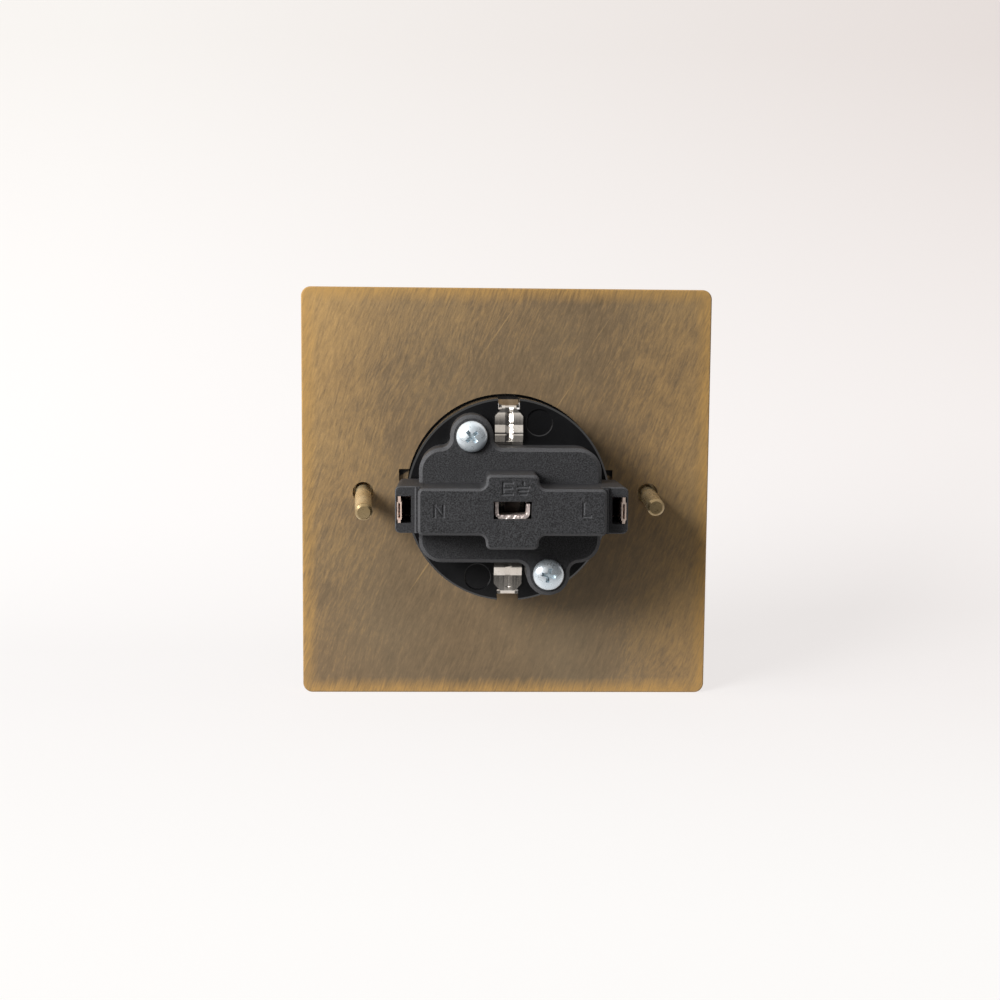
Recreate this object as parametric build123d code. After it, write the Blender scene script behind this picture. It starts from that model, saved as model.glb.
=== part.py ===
from build123d import *
import math
import os

# Earthed two-pin wall socket outlet on a square brass plate, in millimetres.
# +Y goes into the wall and +Z is up. The origin is the centre of the plate's back face.

# Face plate
PLATE_SIZE = 86.0
PLATE_THICK = 3.0
PLATE_CORNER_R = 2.0
PLATE_EDGE_FRONT = 0.6
PLATE_EDGE_BACK = 0.25
PLATE_HOLE_R = 21.0
SEAT_REACH = 22.6
SEAT_HALF = 5.0
SEAT_DEEP = 1.2
FIXING_SPACING = 60.3
FIXING_HOLE_R = 2.2

# Round insert: flange in front of the plate, well for the plug, flat disc behind
INSERT_R = 20.5
INSERT_BACK = 14.84
WELL_R = 19.5
WELL_DEPTH = 17.7
FLANGE_R = 25.5
FLANGE_THICK = 2.0
FLANGE_EDGE = 0.9
MOUTH_EDGE = 0.5
DISC_EDGE = 0.4
PIN_SPACING = 19.0
PIN_HOLE_R = 2.75
PIN_HOLE_LEAD = 0.5
RIB_REACH = 16.9
RIB_HALF = 2.4
CLIP_SLOT_HALF = 2.15
CLIP_SLOT_INNER = 18.2
CLIP_SLOT_FRONT = -2.0
DIMPLE_AT = (-6.1, 15.6)
DIMPLE_R = 2.55
DIMPLE_DEPTH = 0.35
DIMPLE_EDGE = 0.2
HOOK_REACH = 22.1
HOOK_HALF = 2.4
HOOK_HIGH = 1.05
HOOK_LAND = 0.4
HOOK_GAP = 0.05

# Terminal cover
COVER_WIDTH = 35.3
COVER_HEIGHT = 22.3
COVER_CORNER_R = 4.5
COVER_BACK = 26.16
COVER_EDGE = 0.7
COVER_WALL = 1.3
COVER_ROOF = 1.56
EAR_AT = (7.5, 13.35)
EAR_R = 4.2
EAR_BLEND = 1.8
RIDGE_LENGTH = 35.0
RIDGE_HEIGHT = 8.7
RIDGE_BACK = 38.31
RIDGE_WALL = 1.2
RIDGE_EDGE = 0.45
HUB_LENGTH = 9.8
HUB_HEIGHT = 13.9
RIDGE_INNER_R = 1.3
RIDGE_OUTER_R = 1.0
LUG_REACH = 21.9
LUG_HALF = 4.4
LUG_FRONT = 17.0
LUG_BACK = 34.0
LUG_ROUND = 1.0
LUG_EDGE = 0.2
LUG_FLOOR = 1.2
LEDGE_REACH = 18.2
LEDGE_HIGH = 0.7
LEDGE_EDGE = 0.25
POCKET_INNER = 18.9
POCKET_OUTER = 21.6
POCKET_HALF = 2.55
POCKET_ROOF = 2.5
WINDOW_HALF = 3.55
WINDOW_BOTTOM = -1.27
WINDOW_TOP = 2.03

# Cover screws and the posts of the insert that they go into
SCREW_R = 1.45
SCREW_HEAD_R = 3.0
SCREW_HEAD_HIGH = 1.9
SCREW_HEAD_EDGES = (1.0, 0.4)
SCREW_HOLE_R = 1.7
RECESS_LONG = 3.8
RECESS_WIDE = 0.95
RECESS_DEEP = 1.1
RECESS_TURNS_DEG = (48.0, 12.0)
POST_R = 2.5
POST_GAP = 0.2
POST_BACK = 23.5
PILOT_R = 1.5
PILOT_FRONT = 15.3
SCREW_END = 15.6

# Earth strap: bridge across the disc, a clip at each end, a tongue in the middle
STRAP_THICK = 0.6
STRAP_HALF = 2.8
STRAP_MID_HALF = 3.3
STRAP_MID_Z = (2.6, 3.4)
STRAP_NECK_HALF = 1.45
STRAP_NECK_Z = (16.9, 18.4)
STRAP_HUMP = 0.75
STRAP_HUMP_Z = (11.75, 13.4, 15.1)
STRAP_BEND = 0.6
CLIP_HALF = 2.05
CLIP_ARM_Z = 18.75
CLIP_ELBOW_Z = 19.75
CLIP_ELBOW_Y = 7.4
CLIP_CONTACT_Z = 16.9
CLIP_CONTACT_Y = 2.4
CLIP_TOE_Z = 19.2
CLIP_TOE_BACK = -1.0
CLIP_TOE_FRONT = -1.7
GROOVE_HALF = 0.5
GROOVE_DEEP = 0.3
GROOVE_Z = (10.2, 17.6)
TONGUE_HALF = 3.2
TONGUE_THICK = 0.6
TONGUE_BACK = 37.2
TONGUE_BEND = 0.7
TONGUE_LIPS = (2.8, 2.5)
TONGUE_LIP_LONG = 5.0

# Live and neutral contacts, one bent strip each
CONTACT_THICK = 0.55
CONTACT_HALF = 2.5
CONTACT_BEND = 0.9
GRIP_HALF = 2.5
GRIP_FRONT = 26.0
GRIP_BACK = 35.2
MOUTH_FLARE = 0.7
MOUTH_LONG = 2.6
STRIP_Y = 23.0
BAR_X = 21.1
BAR_BACK = 33.9
SLIT_WIDE = 0.36
SLIT_WALL = 0.27
SLIT_DEEP = 3.0
SLIT_Z = (-1.6, 1.2)

# Clamp leaves of the push-in terminals
LEAF_THICK = 0.3
LEAF_HALF = 1.4
LEAF_BEND = 0.35
LEAF_FOOT_X = 18.0
LEAF_FRONT = 23.4
LEAF_BACK = 31.85
LEAF_TIP = 28.0
EARTH_LEAF_ROOM = 1.05
EARTH_LEAF_ROOF = 2.2
EARTH_LEAF_FRONT = 29.5
EARTH_LEAF_BACK = 36.6
EARTH_LEAF_TIP = 32.0

# Shutter with two ramps, and the bow spring above it
SHUTTER_HALF = 3.2
SHUTTER_FRONT = 14.94
SHUTTER_BACK = 19.4
SHUTTER_BRIDGE_Z = 1.4
SHUTTER_BRIDGE_FRONT = 16.2
STOP_X = (4.2, 5.6)
STOP_Z = (0.1, 1.3)
STOP_BACK = 18.5
GUIDE_GAP = 0.15
GUIDE_WIDE = 0.7
BOW_HALF = 12.5
BOW_THICK = 0.25
BOW_Y = (16.6, 18.6)

# Loose fixing screws: droop, swing towards the middle, and drop at the back of the plate
FIXING_R = 1.75
FIXING_NECK_R = 1.55
FIXING_END = 14.3
FIXING_NECK_END = 2.8
FIXING_TIP = 0.45
FIXING_HEAD_R = 3.4
FIXING_HEAD_HIGH = 2.0
FIXING_HEAD_EDGE = 0.8
FIXING_SLOT_WIDE = 0.9
FIXING_SLOT_DEEP = 0.9
LEFT_DROOP_DEG = 10.2
LEFT_SWING_DEG = 4.4
LEFT_DROP = 0.15
RIGHT_DROOP_DEG = 5.1
RIGHT_SWING_DEG = 0.7
RIGHT_DROP = 0.17

PLATE_FRONT = -PLATE_THICK
INSERT_FRONT = PLATE_FRONT - FLANGE_THICK
WELL_FLOOR = INSERT_FRONT + WELL_DEPTH
PIN_X = PIN_SPACING / 2
COVER_X = COVER_WIDTH / 2
COVER_Z = COVER_HEIGHT / 2
ROOF_Y = COVER_BACK - COVER_ROOF
CAVITY_X = COVER_X - COVER_WALL
CAVITY_Z = COVER_Z - COVER_WALL
SIDES = (1, -1)


def slab(sketch, y0, y1):
    """A sketch drawn in X and Z, made solid from y0 to y1."""
    return extrude(Plane.XZ.offset(-y0) * sketch, y1 - y0, dir=(0, 1, 0))


def across_x(sketch, x0, x1):
    """A sketch drawn in Y and Z, made solid from x0 to x1."""
    return extrude(Plane.YZ.offset(x0) * sketch, x1 - x0, dir=(1, 0, 0))


def across_z(sketch, half):
    """A sketch drawn in X and Y, made solid by half to each side of the middle."""
    return extrude(Plane.XY.offset(-half) * sketch, 2 * half, dir=(0, 0, 1))


def block(x, y, z):
    """A box between the pairs x, y and z."""
    middle = [(a + b) / 2 for a, b in (x, y, z)]
    return Pos(*middle) * Box(*[abs(b - a) for a, b in (x, y, z)])


def mirrored(side, low, high):
    """A range in X on one side of the middle."""
    return tuple(sorted((side * low, side * high)))


def turn_point(x, z):
    """A place in X and Z and its partner half a turn away."""
    return ((x, z), (-x, -z))


def bent_strip(points, thick, bend):
    """The edge view of a strip that follows points, with rounded bends."""
    path = [Vector(*p) for p in points]
    ways = [(b - a).normalized() for a, b in zip(path, path[1:])]

    def side_edges(side):
        edges = []
        start = path[0] + ways[0].rotate(Axis.Z, 90) * (side * thick / 2)
        for corner, before, after in zip(path[1:-1], ways, ways[1:]):
            turn = math.radians(before.get_signed_angle(after, Vector(0, 0, 1)))
            left = math.copysign(1, turn)
            back_off = bend * math.tan(abs(turn) / 2)
            enter = corner - before * back_off
            centre = enter + before.rotate(Axis.Z, 90 * left) * bend
            radius = bend - side * left * thick / 2
            spokes = [(enter - centre).normalized()]
            spokes += [spokes[0].rotate(Axis.Z, math.degrees(turn) * part) for part in (0.5, 1.0)]
            arc = [centre + spoke * radius for spoke in spokes]
            edges += [Line(start, arc[0]), ThreePointArc(*arc)]
            start = arc[-1]
        end = path[-1] + ways[-1].rotate(Axis.Z, 90) * (side * thick / 2)
        return edges + [Line(start, end)], end

    left_edges, left_end = side_edges(1)
    right_edges, right_end = side_edges(-1)
    ends = [Line(left_edges[0] @ 0, right_edges[0] @ 0), Line(left_end, right_end)]
    return make_face(left_edges + right_edges + ends)


def face_plate():
    outline = RectangleRounded(PLATE_SIZE, PLATE_SIZE, PLATE_CORNER_R)
    plate = slab(outline, PLATE_FRONT, 0)
    plate = chamfer(plate.faces().sort_by(Axis.Y)[0].edges(), PLATE_EDGE_FRONT)
    plate = chamfer(plate.faces().sort_by(Axis.Y)[-1].edges(), PLATE_EDGE_BACK)
    holes = Sketch() + Circle(PLATE_HOLE_R)
    for side in SIDES:
        holes += Pos(side * FIXING_SPACING / 2, 0) * Circle(FIXING_HOLE_R)
    plate -= slab(holes, PLATE_FRONT - 1, 1)
    return plate - block((-SEAT_REACH, SEAT_REACH), (-SEAT_DEEP, 1), (-SEAT_HALF, SEAT_HALF))


def hook(side):
    """Wedge on the drum that snaps behind the plate, inside its seat."""
    seat = HOOK_GAP - SEAT_DEEP
    root = INSERT_R - 0.3
    wedge = [(root, seat), (HOOK_REACH, seat), (HOOK_REACH, seat + HOOK_LAND), (root, seat + HOOK_HIGH)]
    view = Polygon(*[(side * x, y) for x, y in wedge], align=None)
    return across_z(view, HOOK_HALF)


def rims_at(body, radius, y):
    """The round edges of a radius at a depth."""
    rounds = [e for e in body.edges().filter_by(GeomType.CIRCLE) if abs(e.radius - radius) < 1e-4]
    return [e for e in rounds if abs(e.center().Y - y) < 1e-3]


def socket_insert():
    flange = slab(Circle(FLANGE_R), INSERT_FRONT, PLATE_FRONT)
    flange = chamfer(flange.edges().sort_by(Axis.Y)[0], FLANGE_EDGE)
    drum = slab(Circle(INSERT_R), PLATE_FRONT, INSERT_BACK)
    drum = chamfer(drum.edges().sort_by(Axis.Y)[-1], DISC_EDGE)
    body = flange + drum - slab(Circle(WELL_R), INSERT_FRONT - 1, WELL_FLOOR)
    mouth = [e for e in body.edges().filter_by(GeomType.CIRCLE) if e.center().Y < INSERT_FRONT + 0.01]
    body = chamfer(min(mouth, key=lambda e: e.radius), MOUTH_EDGE)
    for side in SIDES:
        body += block(mirrored(side, RIB_REACH, WELL_R + 0.3), (INSERT_FRONT + 1.2, WELL_FLOOR + 0.1),
                      (-RIB_HALF, RIB_HALF))
        body += hook(side)
        body += block(mirrored(side, *STOP_X), (INSERT_BACK - 0.1, STOP_BACK), STOP_Z)
        body -= block((-CLIP_SLOT_HALF, CLIP_SLOT_HALF), (CLIP_SLOT_FRONT, INSERT_BACK + 1),
                      mirrored(side, CLIP_SLOT_INNER, INSERT_R + 0.4))
        pin = Pos(side * PIN_X, 0)
        body -= slab(pin * Circle(PIN_HOLE_R), WELL_FLOOR - 1, INSERT_BACK + 1)
    for x, z in turn_point(*EAR_AT):
        body += slab(Pos(x, z) * Circle(POST_R), INSERT_BACK - 0.1, POST_BACK)
        body -= slab(Pos(x, z) * Circle(PILOT_R), PILOT_FRONT, POST_BACK + 1)
    for x, z in turn_point(*DIMPLE_AT):
        body -= slab(Pos(x, z) * Circle(DIMPLE_R), INSERT_BACK - DIMPLE_DEPTH, INSERT_BACK + 1)
    body = chamfer(rims_at(body, PIN_HOLE_R, WELL_FLOOR), PIN_HOLE_LEAD)
    return chamfer(rims_at(body, DIMPLE_R, INSERT_BACK), DIMPLE_EDGE)


def cover_base():
    outline = RectangleRounded(COVER_WIDTH, COVER_HEIGHT, COVER_CORNER_R)
    ears = turn_point(*EAR_AT)
    for x, z in ears:
        outline += Pos(x, z) * Circle(EAR_R)
    base = slab(outline, INSERT_BACK, COVER_BACK)
    joins = [e for e in base.edges().filter_by(Axis.Y) if abs(abs(e.center().Z) - COVER_Z) < 1e-4
             and min(math.dist((e.center().X, e.center().Z), ear) for ear in ears) < EAR_R + 1e-3]
    base = fillet(joins, EAR_BLEND)
    return chamfer(base.faces().sort_by(Axis.Y)[-1].edges(), COVER_EDGE)


def corners_at(outline, place):
    """The four corners of an outline at plus and minus a place."""
    return [v for v in outline.vertices() if math.dist((abs(v.X), abs(v.Y)), place) < 1e-4]


def ridge_outline():
    outline = Rectangle(RIDGE_LENGTH, RIDGE_HEIGHT) + Rectangle(HUB_LENGTH, HUB_HEIGHT)
    ridge_z = RIDGE_HEIGHT / 2
    hub_x = HUB_LENGTH / 2
    outline = fillet(corners_at(outline, (hub_x, ridge_z)), RIDGE_INNER_R)
    outline = fillet(corners_at(outline, (RIDGE_LENGTH / 2, ridge_z)), RIDGE_OUTER_R)
    return fillet(corners_at(outline, (hub_x, HUB_HEIGHT / 2)), RIDGE_OUTER_R)


def lug(side):
    """Side lug round a terminal, with a ledge at the foot of the ridge's end."""
    root = COVER_X - 1.0
    solid = block(mirrored(side, root, LUG_REACH), (LUG_FRONT, LUG_BACK), (-LUG_HALF, LUG_HALF))
    outer = solid.faces().sort_by(Axis.X)[-1 if side > 0 else 0]
    solid = fillet(outer.edges().filter_by(Axis.Y), LUG_ROUND)
    back = solid.faces().sort_by(Axis.Y)[-1]
    solid = chamfer([e for e in back.edges() if abs(e.center().X) > root + 0.1], LUG_EDGE)
    ridge_z = RIDGE_HEIGHT / 2
    ledge_y = (LUG_BACK - 1, LUG_BACK + LEDGE_HIGH)
    ledge = block(mirrored(side, root, LEDGE_REACH), ledge_y, (-ridge_z, ridge_z))
    top = ledge.faces().sort_by(Axis.Y)[-1].edges().sort_by(Axis.X)
    return solid + chamfer(top[-1 if side > 0 else 0], LEDGE_EDGE)


def terminal_cover():
    base = cover_base()
    ridge = slab(ridge_outline(), COVER_BACK - COVER_ROOF / 2, RIDGE_BACK)
    ridge = chamfer(ridge.faces().sort_by(Axis.Y)[-1].edges(), RIDGE_EDGE)
    body = base + ridge + lug(1) + lug(-1)
    inner_r = COVER_CORNER_R - COVER_WALL
    body -= slab(RectangleRounded(2 * CAVITY_X, 2 * CAVITY_Z, inner_r), INSERT_BACK - 1, ROOF_Y)
    ridge_z = RIDGE_HEIGHT / 2 - RIDGE_WALL
    pocket_front = LUG_FRONT + LUG_FLOOR
    pocket_roof = LUG_BACK - POCKET_ROOF
    for side in SIDES:
        chamber = mirrored(side, HUB_LENGTH / 2 + 0.95, RIDGE_LENGTH / 2 - RIDGE_WALL)
        body -= block(chamber, (ROOF_Y - 0.1, RIDGE_BACK - RIDGE_WALL), (-ridge_z, ridge_z))
        passage = mirrored(side, CAVITY_X - 0.6, POCKET_OUTER)
        body -= block(passage, (pocket_front, pocket_roof), (-POCKET_HALF, POCKET_HALF))
        mouth = Rectangle(POCKET_OUTER - POCKET_INNER, 2 * POCKET_HALF)
        mouth = Pos(side * (POCKET_INNER + POCKET_OUTER) / 2, 0) * mouth
        body -= slab(mouth, pocket_roof - 0.1, LUG_BACK + 1)
        for low in (PIN_X - SHUTTER_HALF, PIN_X + SHUTTER_HALF - GUIDE_WIDE):
            guide_x = mirrored(side, low, low + GUIDE_WIDE)
            for z in ((ridge_z + 0.1, CAVITY_Z + 0.1), (-CAVITY_Z - 0.1, -ridge_z - 0.1)):
                body += block(guide_x, (SHUTTER_BACK + GUIDE_GAP, ROOF_Y + 0.1), z)
    body -= block((-WINDOW_HALF, WINDOW_HALF), (ROOF_Y - 0.1, RIDGE_BACK + 1), (WINDOW_BOTTOM, WINDOW_TOP))
    leaf_z = (WINDOW_TOP - 0.1, WINDOW_TOP + EARTH_LEAF_ROOM)
    body -= block((-LEAF_HALF - 0.2, LEAF_HALF + 0.2), (ROOF_Y - 0.1, RIDGE_BACK - EARTH_LEAF_ROOF), leaf_z)
    body -= block((-STRAP_HALF - 0.2, STRAP_HALF + 0.2), (INSERT_BACK - 1, INSERT_BACK + STRAP_THICK + 0.15),
                  (-COVER_Z - 1, COVER_Z + 1))
    for x, z in turn_point(*EAR_AT):
        body -= slab(Pos(x, z) * Circle(POST_R + POST_GAP), INSERT_BACK - 1, POST_BACK + POST_GAP)
        body -= slab(Pos(x, z) * Circle(SCREW_HOLE_R), POST_BACK, COVER_BACK + 1)
    return body


def cover_screw(x, z, recess_turn):
    top = COVER_BACK + SCREW_HEAD_HIGH
    head = slab(Circle(SCREW_HEAD_R), COVER_BACK, top)
    for edge in SCREW_HEAD_EDGES:
        head = chamfer(head.edges().sort_by(Axis.Y)[-1], edge)
    shank = slab(Circle(SCREW_R), SCREW_END, COVER_BACK + 0.1)
    shank = chamfer(shank.edges().sort_by(Axis.Y)[0], SCREW_R / 3)
    cross = Rectangle(RECESS_LONG, RECESS_WIDE) + Rectangle(RECESS_WIDE, RECESS_LONG)
    recess = slab(Rot(0, 0, recess_turn) * cross, top - RECESS_DEEP, top + 1)
    return Pos(x, 0, z) * (head + shank - recess)


def strap_path(lift=0.0, last=None):
    """One half of the strap in Y and Z, from the middle of the disc to the clip's end."""
    low = INSERT_BACK + STRAP_THICK / 2 + lift
    hump = zip((low, low + STRAP_HUMP, low), STRAP_HUMP_Z)
    path = [(low, 0), *hump, (low, CLIP_ARM_Z), (CLIP_ELBOW_Y, CLIP_ELBOW_Z)]
    path += [(CLIP_CONTACT_Y, CLIP_CONTACT_Z), (CLIP_TOE_BACK, CLIP_TOE_Z), (CLIP_TOE_FRONT, CLIP_TOE_Z)]
    return path[:last]


def strap_outline():
    """Widths of the strap seen from behind: wide in the middle, a neck at each rim slot."""
    widths = (STRAP_MID_HALF, STRAP_MID_HALF, STRAP_HALF, STRAP_HALF, STRAP_NECK_HALF, STRAP_NECK_HALF)
    edge = list(zip(widths, (0, *STRAP_MID_Z, *STRAP_NECK_Z, INSERT_R)))
    upper = edge + [(-x, z) for x, z in reversed(edge)]
    return Polygon(*upper, align=None)


def earth_strap():
    view = bent_strip(strap_path(), STRAP_THICK, STRAP_BEND)
    strip = across_x(view, -STRAP_MID_HALF, STRAP_MID_HALF)
    arm_y = INSERT_BACK - STRAP_BEND
    half = strip & slab(strap_outline(), arm_y, RIDGE_BACK)
    half += strip & block((-CLIP_HALF, CLIP_HALF), (CLIP_TOE_FRONT - 1, arm_y), (0, INSERT_R))
    lift = STRAP_THICK - GROOVE_DEEP
    groove = bent_strip(strap_path(lift, 5), STRAP_THICK, STRAP_BEND)
    groove = across_x(groove, -GROOVE_HALF, GROOVE_HALF)
    half -= groove & block((-STRAP_HALF, STRAP_HALF), (INSERT_BACK, RIDGE_BACK), GROOVE_Z)
    strap = half + mirror(half, about=Plane.XY)
    low = WINDOW_BOTTOM + 0.02
    lip_front = TONGUE_BACK - TONGUE_LIP_LONG
    tongue_y = (INSERT_BACK + STRAP_THICK / 2, lip_front + 0.1)
    strap += block((-TONGUE_HALF, TONGUE_HALF), tongue_y, (low, low + TONGUE_THICK))
    middle = low + TONGUE_THICK / 2
    wall = TONGUE_HALF - TONGUE_THICK / 2
    left_lip, right_lip = [middle + tall for tall in TONGUE_LIPS]
    channel = [(wall, left_lip), (wall, middle), (-wall, middle), (-wall, right_lip)]
    return strap + slab(bent_strip(channel, TONGUE_THICK, TONGUE_BEND), lip_front, TONGUE_BACK)


def pin_contact(side):
    """A fork for the plug's pin and a bar for the wire, whose end swells round a slit."""
    inner, outer = PIN_X - GRIP_HALF, PIN_X + GRIP_HALF
    mouth = GRIP_FRONT - MOUTH_LONG
    path = [(inner - MOUTH_FLARE, mouth), (inner, GRIP_FRONT), (inner, GRIP_BACK), (outer, GRIP_BACK),
            (outer, GRIP_FRONT), (outer + MOUTH_FLARE, STRIP_Y), (BAR_X, STRIP_Y), (BAR_X, BAR_BACK)]
    view = bent_strip(path, CONTACT_THICK, CONTACT_BEND)
    contact = across_z(view, CONTACT_HALF)
    bottom, top = SLIT_Z
    slit_x = SLIT_WIDE / 2
    swell_x = slit_x + SLIT_WALL
    contact += block((BAR_X - swell_x, BAR_X + swell_x), (BAR_BACK - SLIT_DEEP - SLIT_WALL, BAR_BACK),
                     (bottom - SLIT_WALL, top + SLIT_WALL))
    contact -= block((BAR_X - slit_x, BAR_X + slit_x), (BAR_BACK - SLIT_DEEP, BAR_BACK + 1), SLIT_Z)
    return contact if side > 0 else mirror(contact, about=Plane.YZ)


def side_leaf(side):
    tip = BAR_X - CONTACT_THICK / 2 - LEAF_THICK / 2 - 0.05
    path = [(LEAF_FOOT_X, LEAF_FRONT), (LEAF_FOOT_X, LEAF_BACK), (tip, LEAF_TIP)]
    leaf = across_z(bent_strip(path, LEAF_THICK, LEAF_BEND), LEAF_HALF)
    return leaf if side > 0 else mirror(leaf, about=Plane.YZ)


def earth_leaf():
    foot = WINDOW_TOP + EARTH_LEAF_ROOM - LEAF_THICK / 2 - 0.02
    tip = WINDOW_BOTTOM + 0.02 + TONGUE_THICK + LEAF_THICK / 2 + 0.05
    path = [(EARTH_LEAF_FRONT, foot), (EARTH_LEAF_BACK, foot), (EARTH_LEAF_TIP, tip)]
    return across_x(bent_strip(path, LEAF_THICK, LEAF_BEND), -LEAF_HALF, LEAF_HALF)


def shutter():
    ramp = [(SHUTTER_FRONT, SHUTTER_HALF), (SHUTTER_BACK, SHUTTER_HALF), (SHUTTER_BACK, -SHUTTER_HALF),
            (SHUTTER_BACK - 0.8, -SHUTTER_HALF), (SHUTTER_FRONT, SHUTTER_HALF - 1.2)]
    view = Polygon(*ramp, align=None)
    body = block((-PIN_X, PIN_X), (SHUTTER_BRIDGE_FRONT, SHUTTER_BACK), (SHUTTER_BRIDGE_Z, SHUTTER_HALF))
    for side in SIDES:
        middle = side * PIN_X
        body += across_x(view, middle - SHUTTER_HALF, middle + SHUTTER_HALF)
    return body


def shutter_spring():
    low = SHUTTER_HALF + BOW_THICK / 2 + 0.02
    high = CAVITY_Z - BOW_THICK / 2 - 0.02
    bow = ThreePointArc((-BOW_HALF, high), (0, low), (BOW_HALF, high))
    radius = bow.radius
    centre_z = low + radius
    ring = Circle(radius + BOW_THICK / 2) - Circle(radius - BOW_THICK / 2)
    window = Pos(0, (low + high) / 2 - BOW_THICK / 2) * Rectangle(2 * BOW_HALF, high - low + BOW_THICK)
    return slab(Pos(0, centre_z) * ring & window, *BOW_Y)


def plate_screw(side, droop, swing, drop):
    lean = Rot(0, 0, side * swing) * Rot(-droop, 0, 0)
    way = (lean * Pos(0, 1, 0)).position
    tilt = math.acos(way.Y)
    seat_y = PLATE_FRONT - FIXING_HEAD_R * math.sin(tilt) - 0.03
    step = seat_y / way.Y
    seat = Vector(side * FIXING_SPACING / 2, 0, -drop) + way * step
    length = (FIXING_END - seat_y) / way.Y
    neck = (FIXING_NECK_END - seat_y) / way.Y
    head = slab(Circle(FIXING_HEAD_R), -FIXING_HEAD_HIGH, 0)
    head = chamfer(head.edges().sort_by(Axis.Y)[0], FIXING_HEAD_EDGE)
    slot_y = (-FIXING_HEAD_HIGH - 1, FIXING_SLOT_DEEP - FIXING_HEAD_HIGH)
    slot = block((-FIXING_HEAD_R, FIXING_HEAD_R), slot_y, (-FIXING_SLOT_WIDE / 2, FIXING_SLOT_WIDE / 2))
    thread = slab(Circle(FIXING_R), neck, length)
    thread = chamfer(thread.edges().sort_by(Axis.Y)[-1], FIXING_TIP)
    screw = head - slot + slab(Circle(FIXING_NECK_R), -0.1, neck + 0.1) + thread
    return Pos(seat) * lean * screw


nodes = {
    "face_plate": face_plate(),
    "socket_insert": socket_insert(),
    "terminal_cover": terminal_cover(),
    "earth_strap": earth_strap(),
    "earth_clamp_spring": earth_leaf(),
    "shutter": shutter(),
    "shutter_spring": shutter_spring(),
    "plate_screw_left": plate_screw(1, LEFT_DROOP_DEG, LEFT_SWING_DEG, LEFT_DROP),
    "plate_screw_right": plate_screw(-1, RIGHT_DROOP_DEG, RIGHT_SWING_DEG, RIGHT_DROP),
}
for side, pole in zip(SIDES, ("neutral", "live")):
    nodes[f"{pole}_contact"] = pin_contact(side)
    nodes[f"{pole}_clamp_spring"] = side_leaf(side)
for place, where, recess_turn in zip(("upper", "lower"), turn_point(*EAR_AT), RECESS_TURNS_DEG):
    nodes[f"cover_screw_{place}"] = cover_screw(*where, recess_turn)

os.makedirs("parts", exist_ok=True)
for name, solid in nodes.items():
    solid.label = name
    export_step(solid, f"parts/{name}.step")
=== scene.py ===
import math

import bmesh
import bpy
from mathutils import Matrix, Vector


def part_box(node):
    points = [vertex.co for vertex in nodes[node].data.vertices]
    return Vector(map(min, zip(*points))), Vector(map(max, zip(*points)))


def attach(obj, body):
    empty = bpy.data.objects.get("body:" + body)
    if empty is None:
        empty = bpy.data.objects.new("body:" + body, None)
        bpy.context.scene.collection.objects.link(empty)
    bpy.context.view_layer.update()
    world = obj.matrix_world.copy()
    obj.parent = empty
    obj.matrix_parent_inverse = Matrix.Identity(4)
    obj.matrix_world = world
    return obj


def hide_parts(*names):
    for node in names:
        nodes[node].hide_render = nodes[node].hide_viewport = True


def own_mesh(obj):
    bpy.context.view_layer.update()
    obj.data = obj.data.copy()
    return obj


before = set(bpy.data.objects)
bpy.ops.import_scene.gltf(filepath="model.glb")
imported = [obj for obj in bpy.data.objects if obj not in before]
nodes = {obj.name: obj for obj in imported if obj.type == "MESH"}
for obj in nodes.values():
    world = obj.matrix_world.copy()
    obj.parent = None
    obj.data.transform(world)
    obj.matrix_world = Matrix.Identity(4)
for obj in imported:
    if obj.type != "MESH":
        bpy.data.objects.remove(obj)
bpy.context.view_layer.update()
scene = bpy.context.scene
MM = 0.001


# Camera, from the corners of the plate in the photograph

CAMERA_AT = (0.01014, 0.29284, 0.02765)
CAMERA_PITCH = 0.0991
CAMERA_YAW = 0.0305
CAMERA_ROLL = -0.0081
LENS_LONG = 50
LENS_SENSOR = 36
LENS_NEAREST = 0.01


def set_camera():
    lens = bpy.data.cameras.new("camera")
    lens.lens = LENS_LONG
    lens.sensor_width = LENS_SENSOR
    lens.clip_start = LENS_NEAREST
    turn = Matrix.Rotation(CAMERA_ROLL, 3, "Z") @ Matrix.Rotation(CAMERA_PITCH, 3, "X")
    turn = turn @ Matrix.Rotation(CAMERA_YAW, 3, "Y")
    axes = Matrix([(-row.x, row.z, row.y) for row in turn]).transposed()
    camera = bpy.data.objects.new("camera", lens)
    camera.matrix_world = Matrix.Translation(CAMERA_AT) @ axes.to_4x4()
    scene.collection.objects.link(camera)
    scene.camera = camera


# Small helpers for node trees

def tone(red, green, blue):
    """A colour given as it looks on screen, 0 to 255, turned into the renderer's own scale."""
    return tuple((c / 255 / 12.92) if c <= 10 else ((c / 255 + 0.055) / 1.055) ** 2.4
                 for c in (red, green, blue)) + (1.0,)


def add(tree, kind, **settings):
    """A new node with its settings."""
    node = tree.nodes.new(kind)
    for name, value in settings.items():
        setattr(node, name, value)
    return node


def wire(tree, socket, value):
    """Joins an output to an input, or sets the input to a plain value."""
    if isinstance(value, bpy.types.NodeSocket):
        tree.links.new(value, socket)
    else:
        socket.default_value = value


def maths(tree, operation, first, second=0.5, clamp=False):
    node = add(tree, "ShaderNodeMath", operation=operation, use_clamp=clamp)
    wire(tree, node.inputs[0], first)
    wire(tree, node.inputs[1], second)
    return node.outputs[0]


def total(tree, values):
    """The sum of several values."""
    result = values[0]
    for value in values[1:]:
        result = maths(tree, "ADD", result, value)
    return result


def near_to(tree, value, middle, slack):
    """One where a value is close to a middle one, zero elsewhere."""
    node = add(tree, "ShaderNodeMath", operation="COMPARE")
    for socket, number in zip(node.inputs, (value, middle, slack)):
        wire(tree, socket, number)
    return node.outputs[0]


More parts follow.
